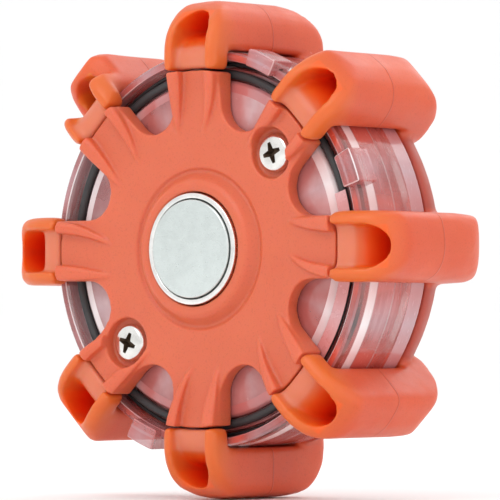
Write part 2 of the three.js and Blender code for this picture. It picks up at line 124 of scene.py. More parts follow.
def finish_mesh(bm, name, sharp=32):
    bmesh.ops.remove_doubles(bm, verts=bm.verts, dist=1e-7)
    bmesh.ops.recalc_face_normals(bm, faces=bm.faces)
    mesh = bpy.data.meshes.new(name)
    bm.to_mesh(mesh)
    bm.free()
    mesh.shade_smooth()
    mesh.set_sharp_from_angle(angle=math.radians(sharp))
    return mesh


def fillet(profile, radius, steps=4):
    """Rounds the corners of a closed profile. A point may carry its own radius as a third number."""
    out = []
    count = len(profile)
    for i, point in enumerate(profile):
        here = Vector(point[:2])
        before = Vector(profile[i - 1][:2]) - here
        after = Vector(profile[(i + 1) % count][:2]) - here
        r = point[2] if len(point) > 2 else radius
        r = min(r, before.length * 0.45, after.length * 0.45)
        if r < 0.01 or here.x < 1e-6:
            out.append(tuple(here))
            continue
        start = here + before.normalized() * r
        end = here + after.normalized() * r
        for k in range(steps + 1):
            t = k / steps
            p = start * (1 - t) ** 2 + here * (2 * t * (1 - t)) + end * t ** 2
            out.append((p.x, p.y))
    return out


def round_section(radius, depth, thick, count):
    """The (radius, depth) points of a ring's round section. thick is the section's own radius."""
    turns = [2 * math.pi * k / count for k in range(count)]
    return [(radius + thick * math.cos(a), depth + thick * math.sin(a)) for a in turns]


def revolve(bm, profile, centre, axis, segments, ripple=None, closed=True):
    """Turns (radius, height) points about an axis. ripple changes a radius with the angle."""
    side = Vector((0, 0, 1)) if abs(axis.y) > 0.9 else axis.orthogonal().normalized()
    other = axis.cross(side)
    rings = []
    for k in range(segments):
        a = 2 * math.pi * k / segments
        ring = []
        for radius, height in profile:
            r = ripple(radius, a) if ripple else radius
            ring.append(bm.verts.new(centre + (side * math.cos(a) + other * math.sin(a)) * r * MM
                                     + axis * height * MM))
        rings.append(ring)
    last = len(profile) if closed else len(profile) - 1
    for k in range(segments):
        near, far = rings[k], rings[(k + 1) % segments]
        for i in range(last):
            j = (i + 1) % len(profile)
            if profile[i][0] < 1e-6 and profile[j][0] < 1e-6:
                continue
            bm.faces.new((near[i], near[j], far[j], far[i]))


def turned(name, profile, material, node, segments=192, corner=0.25, ripple=None, sharp=32):
    """A turned piece on the flare's own axis, from (radius, depth) points, in place of one node."""
    bm = bmesh.new()
    revolve(bm, fillet(profile, corner), MIDDLE, FORWARD, segments, ripple)
    return add_object(name, finish_mesh(bm, name, sharp), material, [node])


def sector_into(bm, start, end, inner, outer, near, far, steps):
    """Adds a block bent round the axis, between two clock angles, two radii and two depths."""
    grid = []
    for i in range(steps + 1):
        a = start + (end - start) * i / steps
        grid.append([bm.verts.new(clock_place(a, r, d)) for r, d in
                     ((inner, near), (outer, near), (outer, far), (inner, far))])
    faces = [bm.faces.new(grid[0]), bm.faces.new(list(reversed(grid[-1])))]
    for a, b in zip(grid, grid[1:]):
        for k in range(4):
            faces.append(bm.faces.new((a[k], b[k], b[(k + 1) % 4], a[(k + 1) % 4])))
    return faces


def box_into(bm, centre, size, bevel, turn=None):
    """Adds a box with bevelled edges."""
    made = bmesh.ops.create_cube(bm, size=1.0)["verts"]
    bmesh.ops.scale(bm, verts=made, vec=Vector(size) * MM)
    edges = list({e for v in made for e in v.link_edges})
    made = bmesh.ops.bevel(bm, geom=edges, offset=bevel * MM, segments=3, affect="EDGES",
                           profile=0.6)["verts"]
    if turn:
        bmesh.ops.rotate(bm, verts=made, cent=(0, 0, 0), matrix=turn)
    bmesh.ops.translate(bm, verts=made, vec=centre)


def softened(node, name, voxel, rounds, keep):
    """The shape of a moulded part with its edges softened: remeshed evenly, relaxed and thinned."""
    work = bpy.data.objects.new(name + "_work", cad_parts[node].data.copy())
    bpy.context.scene.collection.objects.link(work)
    even = work.modifiers.new("even", "REMESH")
    even.mode = "VOXEL"
    even.voxel_size = voxel * MM
    soft = work.modifiers.new("soft", "SMOOTH")
    soft.factor = 0.5
    soft.iterations = rounds
    thin = work.modifiers.new("thin", "DECIMATE")
    thin.ratio = keep
    graph = bpy.context.evaluated_depsgraph_get()
    mesh = bpy.data.meshes.new_from_object(work.evaluated_get(graph))
    mesh.name = name
    mesh.shade_smooth()
    bpy.data.objects.remove(work)
    return mesh


def cut_away(mesh, cutter):
    """Takes the cutter's shape out of the mesh."""
    target = bpy.data.objects.new("target_work", mesh)
    tool = bpy.data.objects.new("tool_work", cutter)
    for o in (target, tool):
        bpy.context.scene.collection.objects.link(o)
    cut = target.modifiers.new("cut", "BOOLEAN")
    cut.operation = "DIFFERENCE"
    cut.solver = "EXACT"
    cut.object = tool
    graph = bpy.context.evaluated_depsgraph_get()
    result = bpy.data.meshes.new_from_object(target.evaluated_get(graph))
    for o in (target, tool):
        bpy.data.objects.remove(o)
    result.shade_smooth()
    result.set_sharp_from_angle(angle=math.radians(30))
    return result


# ---------------------------------------------------------------- material tools
class Material:
    """A node material under construction, with short calls for the nodes used most."""

    def __init__(self, name, colour, roughness, metallic=0.0):
        self.material = bpy.data.materials.new(name)
        self.material.use_nodes = True
        self.nodes = self.material.node_tree.nodes
        self.links = self.material.node_tree.links
        self.shader = self.nodes["Principled BSDF"]
        self.set("Base Color", (*colour, 1))
        self.set("Roughness", roughness)
        self.set("Metallic", metallic)
        self.coordinates = self.nodes.new("ShaderNodeTexCoord").outputs["Object"]
        self.height = None

    def set(self, socket, value):
        self.shader.inputs[socket].default_value = value

    def use(self, socket, output):
        self.links.new(output, self.shader.inputs[socket])

    def noise(self, scale, detail=3.0, stretch=(1, 1, 1)):
        mapping = self.nodes.new("ShaderNodeMapping")
        mapping.inputs["Scale"].default_value = stretch
        self.links.new(self.coordinates, mapping.inputs["Vector"])
        node = self.nodes.new("ShaderNodeTexNoise")
        node.inputs["Scale"].default_value = scale
        node.inputs["Detail"].default_value = detail
        self.links.new(mapping.outputs["Vector"], node.inputs["Vector"])
        return node.outputs["Fac"]

    def ramp(self, factor, stops):
        """stops: (position, colour) pairs, or (position, number) pairs for a value."""
        node = self.nodes.new("ShaderNodeValToRGB")
        while len(node.color_ramp.elements) < len(stops):
            node.color_ramp.elements.new(0.5)
        for element, (position, value) in zip(node.color_ramp.elements, stops):
            element.position = position
            colour = value if isinstance(value, tuple) else (value, value, value)
            element.color = (*colour, 1)
        self.links.new(factor, node.inputs["Fac"])
        return node.outputs["Color"]

    def math(self, operation, a, b=0.0):
        node = self.nodes.new("ShaderNodeMath")
        node.operation = operation
        for socket, value in zip(node.inputs, (a, b)):
            if isinstance(value, (int, float)):
                socket.default_value = value
            else:
                self.links.new(value, socket)
        return node.outputs["Value"]

    def product(self, first, *others):
        for other in others:
            first = self.math("MULTIPLY", first, other)
        return first

    def mix(self, factor, a, b, blend="MIX"):
        node = self.nodes.new("ShaderNodeMix")
        node.data_type = "RGBA"
        node.blend_type = blend
        for name, value in (("Factor_Float", factor), ("A_Color", a), ("B_Color", b)):
            socket = next(s for s in node.inputs if s.identifier == name)
            if isinstance(value, (int, float)):
                socket.default_value = value
            elif isinstance(value, tuple):
                socket.default_value = (*value, 1)
            else:
                self.links.new(value, socket)
        return next(s for s in node.outputs if s.identifier == "Result_Color")

    def position(self):
        """Where a point is, in millimetres: right, up, depth, radius, and how far across from the middle
        line of the nearest lug."""
        split = self.nodes.new("ShaderNodeSeparateXYZ")
        self.links.new(self.coordinates, split.inputs["Vector"])
        right = self.math("MULTIPLY", split.outputs["X"], 1000)
        up = self.math("MULTIPLY", self.math("SUBTRACT", split.outputs["Z"], AXIS_Z), 1000)
        depth = self.math("MULTIPLY", self.math("SUBTRACT", split.outputs["Y"], FACE_Y), 1000)
        square = self.math("ADD", self.math("MULTIPLY", right, right), self.math("MULTIPLY", up, up))
        radius = self.math("SQRT", square)
        turn = self.math("PINGPONG", self.math("ARCTAN2", right, up), math.pi / 8)
        across = self.math("MULTIPLY", self.math("SINE", turn), radius)
        return right, up, depth, radius, across

    def fade(self, value, none, full):
        """0 where value is at none, 1 where it is at full, and even steps between."""
        part = self.math("DIVIDE", self.math("SUBTRACT", value, none), full - none)
        return self.math("MAXIMUM", self.math("MINIMUM", part, 1), 0)

    def line(self, value, centre, half):
        """1 on a thin line where value is near centre, fading to 0 at half away from it."""
        away = self.math("ABSOLUTE", self.math("SUBTRACT", value, centre))
        return self.math("MAXIMUM", self.math("SUBTRACT", 1, self.math("DIVIDE", away, half)), 0)

    def bump(self, height, distance_mm):
        node = self.nodes.new("ShaderNodeBump")
        node.inputs["Distance"].default_value = distance_mm * MM
        node.inputs["Strength"].default_value = 1
        self.links.new(height, node.inputs["Height"])
        if self.height:
            self.links.new(self.height, node.inputs["Normal"])
        self.height = node.outputs["Normal"]
        self.links.new(self.height, self.shader.inputs["Normal"])


# ---------------------------------------------------------------- orange rubber
# Painted glow of light through the lugs' thin back ends.
LUG_BACK_GLOW_TONE = (0.66, 0.145, 0.018)
# Painted highlight on the bar at each lug's foot.
LUG_FOOT_HIGHLIGHT_TONE = (0.68, 0.22, 0.14)
# Painted shade inside the lugs' mouths, deepest far in and lightest in the hook's.
MOUTH_SHADE_TONE = (0.78, 0.11, 0.008)
MOUTH_DEEP_SHADE_TONE = (0.97, 0.062, 0.003)
HOOK_MOUTH_SHADE_TONE = (0.70, 0.17, 0.022)
# Painted shade on the front ring between the lugs.
FRONT_RING_SHADE_TONE = (0.36, 0.055, 0.035)
PARTING_TONE = (0.42, 0.045, 0.012)
PARTING_DEPTH = 18.6
# The hollow of a lug: half its width, the radii of its floor and its roof, and the depth where it ends.
MOUTH_HALF, MOUTH_FLOOR, MOUTH_ROOF, MOUTH_END = 4.6, 42.4, 49.7, 21.5
# The ring at the front: its outer radius, the depth of its face, and half the width of a lug across it.
RING_RADIUS, RING_FACE, LUG_HALF = 41.9, 27.7, 7.0


def cage_tones(m, colour):
    """Painted light and shade. The lugs are paler at their thin back ends, a painted glow of light through
    the thin rubber, and on the bar at their foot, a painted highlight. They are deeper inside their mouths,
    painted shade, least so in the hook's. The front ring is darker between the lugs, painted shade. A fine
    line runs round the cage where the mould parted."""
    right, up, depth, radius, across = m.position()
    # Painted glow of light through the thin rubber towards the back.
    colour = m.mix(m.product(m.fade(depth, 7.5, 0.5), 0.75), colour, LUG_BACK_GLOW_TONE)
    # Painted highlight on the bar at each lug's foot.
    foot = m.product(m.fade(across, MOUTH_HALF, MOUTH_HALF - 0.4),
                     m.fade(radius, MOUTH_FLOOR, MOUTH_FLOOR - 0.8), m.fade(depth, 4, 2))
    colour = m.mix(m.product(foot, 0.6), colour, LUG_FOOT_HIGHLIGHT_TONE)
    # Painted shade inside each lug's mouth, deeper further in and lighter in the hook.
    mouth = m.product(m.fade(across, MOUTH_HALF, MOUTH_HALF - 0.5),
                      m.fade(radius, MOUTH_FLOOR - 0.6, MOUTH_FLOOR + 0.8),
                      m.fade(radius, MOUTH_ROOF, MOUTH_ROOF - 0.5),
                      m.fade(depth, 0.6, 2.6), m.fade(depth, MOUTH_END, MOUTH_END - 1))
    deep = m.mix(m.fade(depth, 3, 8), MOUTH_SHADE_TONE, MOUTH_DEEP_SHADE_TONE)
    hook = m.fade(m.math("SUBTRACT", up, right), 56, 60)
    deep = m.mix(hook, deep, HOOK_MOUTH_SHADE_TONE)
    colour = m.mix(m.product(mouth, 0.95), colour, deep)
    # Painted shade on the front ring between the lugs.
    ring = m.product(m.fade(depth, RING_FACE - 0.4, RING_FACE),
                     m.fade(radius, RING_RADIUS, RING_RADIUS - 0.4), m.fade(radius, 38.8, 40.4),
                     m.fade(across, LUG_HALF, LUG_HALF + 1.6))
    colour = m.mix(m.product(ring, 0.85), colour, FRONT_RING_SHADE_TONE)
    parting = m.line(depth, PARTING_DEPTH, 0.26)
    m.bump(parting, 0.08)
    return m.mix(m.product(parting, 0.8), colour, PARTING_TONE)


def orange_material(name, light, dark, tones=None):
    """Soft, slightly see-through rubber. tones changes its colour from place to place, with painted light
    and shade.
    """
    m = Material(name, light, 0.42)
    colour = m.ramp(m.noise(60, 4), [(0.3, dark), (0.7, light)])
    speck = m.ramp(m.noise(2600, 2), [(0.34, 0.0), (0.42, 1.0)])
    colour = m.mix(0.1, colour, speck, "MULTIPLY")
    if tones:
        colour = tones(m, colour)
    m.use("Base Color", colour)
    m.use("Roughness", m.ramp(m.noise(300, 5), [(0.3, 0.36), (0.75, 0.5)]))
    m.set("Subsurface Weight", 0.4)
    m.set("Subsurface Radius", (1.0, 0.26, 0.06))
    m.set("Subsurface Scale", 0.0045)
    m.set("Specular IOR Level", 0.45)
    m.bump(m.noise(5200, 3), 0.012)
    m.bump(m.noise(420, 3), 0.02)
    return m.material


ORANGE_CAGE = orange_material("orange_bumper", (0.66, 0.098, 0.032), (0.60, 0.080, 0.026), cage_tones)
ORANGE_COVER = orange_material("orange_cover", (0.66, 0.136, 0.062), (0.62, 0.122, 0.055))


# ---------------------------------------------------------------- metals and plain materials
def steel_material(name, colour, roughness, stained=0.86):
    m = Material(name, colour, roughness, 1.0)
    darker = tuple(c * stained for c in colour)
    m.use("Base Color", m.ramp(m.noise(420, 5), [(0.35, darker), (0.6, colour)]))
    scratches = m.noise(900, 3, (1, 1, 14))
    m.use("Roughness", m.ramp(scratches, [(0.35, roughness * 0.75), (0.7, roughness * 1.35)]))
    m.bump(m.noise(1500, 4), 0.006)
    m.bump(scratches, 0.004)
    return m.material


def plain(name, colour, roughness, grain=2500, depth_mm=0.01, vary=0.8, metallic=0.0):
    """An even material with fine grain, still open to changes."""
    m = Material(name, colour, roughness, metallic)
    darker = tuple(c * vary for c in colour)
    m.use("Base Color", m.ramp(m.noise(240, 4), [(0.3, darker), (0.7, colour)]))
    m.use("Roughness", m.ramp(m.noise(700, 3), [(0.3, roughness * 0.85), (0.75, min(1, roughness * 1.2))]))
    m.bump(m.noise(grain, 3), depth_mm)
    return m


BRIGHT_STEEL = steel_material("plated_steel", (0.86, 0.85, 0.83), 0.22)
MAGNET_PLATE = steel_material("nickel_plate", (0.66, 0.715, 0.70), 0.34, 0.94)
SCREW_STEEL = steel_material("screw_steel", (0.80, 0.79, 0.76), 0.2)
CONTACT = steel_material("contact_steel", (0.74, 0.73, 0.70), 0.3)
SCREW_RECESS = plain("screw_recess", (0.10, 0.065, 0.04), 0.45, metallic=0.6).material
SEAL = plain("seal_rubber", (0.035, 0.035, 0.037), 0.5).material
DIFFUSER = plain("diffuser", (0.80, 0.50, 0.50), 0.35, vary=0.85).material
BLACK = plain("black_plastic", (0.02, 0.02, 0.021), 0.5).material
BUTTON = plain("button_rubber", (0.045, 0.045, 0.048), 0.6, 1800, 0.02).material

# ---------------------------------------------------------------- clear plastics
PINK, PALE, WHITE = (0.50, 0.22, 0.23), (0.62, 0.42, 0.46), (0.90, 0.86, 0.87)
GREY, RED = (0.02, 0.022, 0.025), (0.50, 0.11, 0.10)
# Painted reflection of the orange lugs in the clear plastic.
LUG_REFLECTION_TONE = (0.65, 0.065, 0.03)
BAND_SPAN = 30
# Painted highlights and reflections on the lens's outer wall, by depth: a grey band where the seal shows
# through, white bands and lines, a red band and a pale band.
LENS_SHEEN_BANDS = [
    (5.7, PALE, 0.6), (5.9, GREY, 1.0), (7.1, GREY, 1.0), (7.4, PINK, 0.6), (8.3, PINK, 0.6),
    (8.6, WHITE, 1.0), (11.0, WHITE, 0.95), (11.6, PINK, 0.2), (16.6, PINK, 0.2), (16.9, WHITE, 0.7),
    (17.3, RED, 0.4), (20.0, RED, 0.6), (22.2, RED, 0.3), (22.6, PALE, 0.85), (26.6, PALE, 0.8),
    (27.2, WHITE, 0.6)]


def clear_material(name, colour, milky, alpha, alpha_milky, roughness, glow, bands=None, flank=None):
    """Clear plastic with a milky bloom in places and fine wipe marks. A painted reflection of the orange
    beside it shows in it as red that fades away from each lug and is weaker on the left. bands are (depth,
    colour, strength) stops along the outer wall, painted highlights and reflections. A flank colour shows at
    the top and bottom, away from the two sides, so a painted edge highlight stays on the sides."""
    m = Material(name, colour, roughness)
    right, up, depth, radius, across = m.position()
    cloud = m.noise(70, 5)
    rings = m.noise(70, 4, (1, 11, 1))
    bloom = m.math("ADD", m.product(cloud, 0.6), m.product(rings, 0.4))
    tone = m.ramp(bloom, [(0.38, colour), (0.62, milky)])
    solid = m.ramp(bloom, [(0.36, alpha), (0.64, alpha_milky)])
    # Painted reflection of the orange lugs: red near each lug, weaker on the left.
    near = m.math("ADD", across, m.product(m.math("SUBTRACT", cloud, 0.5), 6.0))
    near = m.product(m.fade(near, 15.5, 9.0), glow, m.math("MAXIMUM", m.fade(right, -34, -16), 0.3))
    # Painted highlight and reflection bands on the lens's outer wall.
    if bands:
        along = m.math("DIVIDE", depth, BAND_SPAN)
        wall = m.product(m.fade(radius, LENS_RADIUS - 0.5, LENS_RADIUS - 0.3),
                         m.fade(radius, LENS_RADIUS + 0.3, LENS_RADIUS + 0.1))
        shade = m.ramp(along, [(d / BAND_SPAN, c) for d, c, s in bands])
        strength = m.product(m.ramp(along, [(d / BAND_SPAN, s) for d, c, s in bands]), wall)
        tone = m.mix(strength, tone, shade)
        solid = m.math("MAXIMUM", solid, m.product(strength, 0.95))
        near = m.product(near, m.math("SUBTRACT", 1, m.product(strength, 0.6)))
    # The flank colour takes over at top and bottom, so a painted edge highlight stays on the sides.
    if flank:
        tone = m.mix(m.fade(m.math("ABSOLUTE", right), 26, 15), tone, flank)
    m.use("Base Color", m.mix(near, tone, LUG_REFLECTION_TONE))
    m.use("Alpha", m.math("MAXIMUM", solid, near))
    wipes = m.noise(500, 4, (1, 7, 1))
    m.use("Roughness", m.ramp(wipes, [(0.3, roughness * 0.6), (0.75, roughness * 2.0)]))
    m.set("IOR", 1.55)
    m.set("Specular IOR Level", 0.75)
    m.set("Coat Weight", 0.5)
    m.set("Coat Roughness", 0.06)
    m.bump(wipes, 0.01)
    m.bump(m.noise(160, 2), 0.05)
    return m.material


CLEAR_LENS = clear_material("clear_lens", (0.52, 0.15, 0.15), (0.62, 0.35, 0.38), 0.46, 0.74, 0.16, 0.9,
                            bands=LENS_SHEEN_BANDS)
CLEAR_HOUSING = clear_material("clear_housing", PINK, (0.74, 0.62, 0.66), 0.50, 0.84, 0.14, 0.6)
# Painted white highlight for the clear parts' edges, turning pink at the top and bottom.
CLEAR_EDGE_HIGHLIGHT = clear_material("clear_edge_highlight", (0.82, 0.75, 0.77), (0.93, 0.90, 0.91), 0.82, 0.96, 0.12, 0.4,
                            flank=(0.52, 0.22, 0.23))
# Painted pink reflection, nearly solid, for the thin sheet over the seal.
CLEAR_SHEEN_SHEET = clear_material("clear_sheen_sheet", (0.62, 0.36, 0.38), (0.72, 0.50, 0.53), 0.93, 1.0, 0.2, 0.5)

# ---------------------------------------------------------------- camera
# Behind the flare, to its right and almost level, aimed a little to the right of the flare's axis.
CAMERA_TURN = 40.0
CAMERA_RISE = -1.18
CAMERA_DISTANCE = 946.1
CAMERA_LENS = 329.8
AIM_RIGHT, AIM_UP = 12.46, -0.24

away = direction(CAMERA_TURN, CAMERA_RISE)
camera_right = direction(CAMERA_TURN + 90, 0)
camera_up = away.cross(camera_right)
camera_data = bpy.data.cameras.new("camera")
camera_data.sensor_width = 36
camera_data.lens = CAMERA_LENS
camera_data.clip_start = 0.05
camera_data.clip_end = 20
camera = bpy.data.objects.new("camera", camera_data)
bpy.context.scene.collection.objects.link(camera)
camera.location = MIDDLE + away * CAMERA_DISTANCE * MM
aim = MIDDLE + camera_right * AIM_RIGHT * MM + camera_up * AIM_UP * MM
camera.rotation_mode = "QUATERNION"
camera.rotation_quaternion = (aim - camera.location).to_track_quat("-Z", "Y")
bpy.context.scene.camera = camera


# ---------------------------------------------------------------- moulded orange parts
# The hook lug points up and to the left: the more a point's up exceeds its right, the further out it is.
HOOK_START = 52
HOOK_RIM_START = 64


def relax(bm, test, rounds):
    """Smooths the points for which test(right, up, depth, radius) is true."""
    chosen = []
    for v in bm.verts:
        right, up, depth = where(v.co)
        if test(right, up, depth, math.hypot(right, up)):
            chosen.append(v)
    for _ in range(rounds):
        bmesh.ops.smooth_vert(bm, verts=chosen, factor=0.5, use_axis_x=True, use_axis_y=True,
                              use_axis_z=True)


def in_hook(right, up, depth, radius):
    """The back half of the hook lug."""
    return depth < 16 and up - right > HOOK_START and abs(up + right) < 16


def is_rim(right, up, depth, radius):
    """The arched outer rim of the hook lug, which keeps its crisp edge."""
    return in_hook(right, up, depth, radius) and up - right > HOOK_RIM_START


def flare_rim(bm):
    """Swells the hook's arched rim outwards."""
    outwards = Vector((-1, 0, 1)).normalized()
    for v in bm.verts:
        right, up, depth = where(v.co)
        if in_hook(right, up, depth, 0):
            reach = min(max((up - right - 60) / 8, 0), 1) * min(max((14 - depth) / 8, 0), 1)
            v.co += outwards * 0.6 * reach * MM


def cage_mesh():
    """The lugs grow rounder outwards and towards their front ends. The hook's two horns are the roundest."""
    mesh = softened("bumper_cage", "bumper_cage_moulding", voxel=0.42, rounds=8, keep=0.5)
    bm = bmesh.new()
    bm.from_mesh(mesh)
    relax(bm, lambda *at: not is_rim(*at), 10)
    relax(bm, lambda *at: in_hook(*at) and not is_rim(*at), 20)
    relax(bm, lambda *at: at[3] > 46 and at[2] > 8 and not is_rim(*at), 12)
    relax(bm, lambda *at: at[3] > 42.5 and at[2] > 27, 16)
    flare_rim(bm)
    relax(bm, is_rim, 8)
    bm.to_mesh(mesh)
    bm.free()
    return mesh


add_object("bumper_cage_moulding", cage_mesh(), ORANGE_CAGE, ["bumper_cage"])
cover_shape = softened("rear_cover", "rear_cover_moulding", voxel=0.30, rounds=4, keep=0.4)
add_object("rear_cover_moulding", cover_shape, ORANGE_COVER, ["rear_cover"])

# ---------------------------------------------------------------- magnet
turned("magnet_cup_turned", [
    (0, 4.6), (11.6, 4.6), (11.6, 0.45, 0.35), (10.45, 0.45, 0.25), (10.4, 3.6), (0, 3.6)],
    BRIGHT_STEEL, "magnet_cup")
turned("magnet_disc_plated", [
    (0, 0.0), (10.2, 0.0, 0.4), (10.2, 3.45), (0, 3.45)],
    MAGNET_PLATE, "magnet_disc", corner=0.1, sharp=60)

# ---------------------------------------------------------------- screws
# Each screw's clock angle, and how far its cross is turned.
SCREWS = [(45, 18), (225, 68)]
SCREW_CIRCLE = 27.5
CROSS_BOTTOM = 4.3


def screw_mesh(centre, name):
    """A domed head on a round shank."""
    bm = bmesh.new()
    revolve(bm, fillet([(0, 2.7), (2.2, 2.78), (3.5, 3.1), (4.05, 3.8, 0.3), (4.0, 4.5, 0.15), (1.45, 4.5),
                        (1.45, 12.6), (0, 13.4)], 0.3), centre, FORWARD, 96)
    return finish_mesh(bm, name, 40)


def cross_mesh(centre, twist):
    """The four-armed recess of a screw head, half as wide at its bottom."""
    outline = []
    for arm in range(4):
        turn = Matrix.Rotation(math.radians(90 * arm + twist), 2)
        for x, z in ((0.78, -0.78), (1.6, -0.62), (2.6, -0.42), (2.6, 0.42), (1.6, 0.62)):
            outline.append(turn @ Vector((x, z)))
    bm = bmesh.new()
    deep = CROSS_BOTTOM * MM
    near = [bm.verts.new(centre + Vector((p.x * MM, 2.2 * MM, p.y * MM))) for p in outline]
    far = [bm.verts.new(centre + Vector((p.x * 0.5 * MM, deep, p.y * 0.5 * MM))) for p in outline]
    bm.faces.new(near)
    bm.faces.new(list(reversed(far)))
    for k in range(len(outline)):
        n = (k + 1) % len(outline)
        bm.faces.new((near[k], far[k], far[n], near[n]))
    bmesh.ops.recalc_face_normals(bm, faces=bm.faces)
    mesh = bpy.data.meshes.new("cross")
    bm.to_mesh(mesh)
    bm.free()
    return mesh


def in_recess(polygon, centre):
    """Whether a face is a wall or the bottom of the cross."""
    offset = polygon.center - centre
    depth = offset.y / MM
    out = math.hypot(offset.x, offset.z) / MM
    is_wall = 2.95 < depth and out < 2.75 and abs(polygon.normal.y) < 0.95
    is_bottom = CROSS_BOTTOM - 0.1 < depth and out < 1.5
    return depth < CROSS_BOTTOM + 0.1 and (is_wall or is_bottom)


def screw(number, angle, twist):
    centre = clock_place(angle, SCREW_CIRCLE, 0)
    head = screw_mesh(centre, "rear_screw_%d_head" % number)
    piece = add_object("rear_screw_%d_turned" % number, cut_away(head, cross_mesh(centre, twist)),
                       SCREW_STEEL, ["rear_screw_%d" % number])
    mark_faces(piece, SCREW_RECESS, lambda polygon: in_recess(polygon, centre))


for number, (angle, twist) in enumerate(SCREWS, 1):
    screw(number, angle, twist)


# ---------------------------------------------------------------- clear housing and seals
# A thin, nearly solid sheet covers the seal on the three o'clock side, between these clock angles, and
# carries a painted pink reflection.
SHEEN_SHEET_START, SHEEN_SHEET_END, SHEEN_SHEET_INNER = 72, 131, 35.0


def housing_mesh():
    """A shallow dish with a stepped edge."""
    bm = bmesh.new()
    step = HOUSING_BACK + 2.3
    profile = fillet([
        (0, HOUSING_BACK), (33.0, HOUSING_BACK, 0.1), (34.8, 6.5, 0.2), (35.35, 7.1, 0.2),
        (35.35, step, 0.2), (HOUSING_RADIUS, step, 0.3), (HOUSING_RADIUS, 10.15), (33.6, 10.15),
        (33.6, 7.9), (0, 7.9)], 0.2)
    revolve(bm, profile, MIDDLE, FORWARD, 192)
    # A sheet 0.09 mm thick on the dish's back, over the seal, to carry a painted reflection.
    sector_into(bm, SHEEN_SHEET_START, SHEEN_SHEET_END, SHEEN_SHEET_INNER, HOUSING_RADIUS, HOUSING_BACK, HOUSING_BACK + 0.09, 24)
    return finish_mesh(bm, "rear_housing_clear")


def is_housing_edge(polygon):
    return in_ring(polygon, 32.9, 35.4, HOUSING_BACK + 0.01, 7.3) or in_ring(polygon, 37.4, 37.9, 8.3, 8.9)


def is_sheen_sheet(polygon):
    return in_ring(polygon, SHEEN_SHEET_INNER + 0.5, HOUSING_RADIUS + 0.05, HOUSING_BACK - 0.05, HOUSING_BACK + 0.2)


housing = add_object("rear_housing_clear", housing_mesh(), CLEAR_HOUSING, ["rear_housing"])
# Painted white highlight on the housing's chamfered edge and the outer corner of its step.
mark_faces(housing, CLEAR_EDGE_HIGHLIGHT, is_housing_edge)
# Painted pink reflection on the sheet over the seal.
mark_faces(housing, CLEAR_SHEEN_SHEET, is_sheen_sheet)

turned("seal_ring_round", round_section(SEAL_RADIUS, SEAL_DEPTH, SEAL_THICK, 16),
       SEAL, "seal_ring", corner=0, sharp=80)
turned("groove_gasket_round", round_section(GASKET_RADIUS, GASKET_DEPTH, GASKET_THICK, 12),
       SEAL, "groove_gasket", corner=0, sharp=80)

# ---------------------------------------------------------------- lens and diffuser
# The clock angle and outer radius of each locking tab. The one at 22.5 is shorter.
TABS = [(22.5, 43.15), (67.5, 43.85), (202.5, 43.85)]
TAB_INNER, TAB_BACK, TAB_FRONT, TAB_HALF_ANGLE = 39.5, 3.25, 9.5, 4.9


def tab_into(bm, angle, outer):
    """Adds a locking tab with rounded edges."""
    faces = sector_into(bm, angle - TAB_HALF_ANGLE, angle + TAB_HALF_ANGLE, TAB_INNER, outer,
                        TAB_BACK, TAB_FRONT, 8)
    bmesh.ops.recalc_face_normals(bm, faces=faces)
    edges = {e for f in faces for e in f.edges if len(e.link_faces) == 2 and e.calc_face_angle(0) > 0.8}
    bmesh.ops.bevel(bm, geom=list(edges), offset=0.55 * MM, segments=3, affect="EDGES", profile=0.6)


def lens_mesh():
    """A cup with two fine grooves round its wall and a hole in its front for the button's stem."""
    bm = bmesh.new()
    wall, groove, inside = LENS_RADIUS, LENS_RADIUS - 0.12, LENS_RADIUS - 3
    front, front_inside = LENS_FRONT, LENS_FRONT - 2
    profile = fillet([
        (39.4, 5.35), (40.7, 5.3, 0.3), (wall, 5.8, 0.3), (wall, 16.75, 0.05), (groove, 16.9, 0.05),
        (wall, 17.05, 0.05), (wall, 22.3, 0.05), (groove, 22.5, 0.05), (groove, 26.8, 0.2),
        (40.5, front, 0.3), (2.9, front, 0.1), (2.9, front_inside), (36.7, front_inside), (inside, 24.0),
        (inside, 9.6, 0.1), (39.4, 9.6, 0.1)], 0.2)
    revolve(bm, profile, MIDDLE, FORWARD, 192)
    for angle, outer in TABS:
        tab_into(bm, angle, outer)
    return finish_mesh(bm, "front_lens_clear")


def is_lens_edge(polygon):
    """The wall's back edge, and the slanting edges of the tabs."""
    depth = where(polygon.center)[2]
    return in_ring(polygon, 39.3, 39.9, 5.2, 5.7) or (depth < 5.2 and -0.93 < polygon.normal.y < -0.2)


lens = add_object("front_lens_clear", lens_mesh(), CLEAR_LENS, ["front_lens"])
# Painted white highlight on the wall's back edge and on the tabs' slanting edges.
mark_faces(lens, CLEAR_EDGE_HIGHLIGHT, is_lens_edge)

FLUTES = 120
FLUTE_DEPTH = 0.45


def fluted(radius, angle):
    """Only the diffuser's outer wall is fluted."""
    return radius - FLUTE_DEPTH * (0.5 - 0.5 * math.cos(FLUTES * angle)) if radius > 37.1 else radius


turned("diffuser_ring_fluted", [
    (36.5, 10.55), (37.85, 10.55), (37.85, 24.0), (36.8, 25.1), (36.5, 25.1)],
    DIFFUSER, "diffuser_ring", segments=720, corner=0.2, ripple=fluted)

# ---------------------------------------------------------------- circuit board
MASK, TRACK = (0.78, 0.79, 0.76), (0.60, 0.64, 0.58)
RIM_CIRCLE, TORCH_CIRCLE, RESISTOR_CIRCLE = 33, 21, 27.5


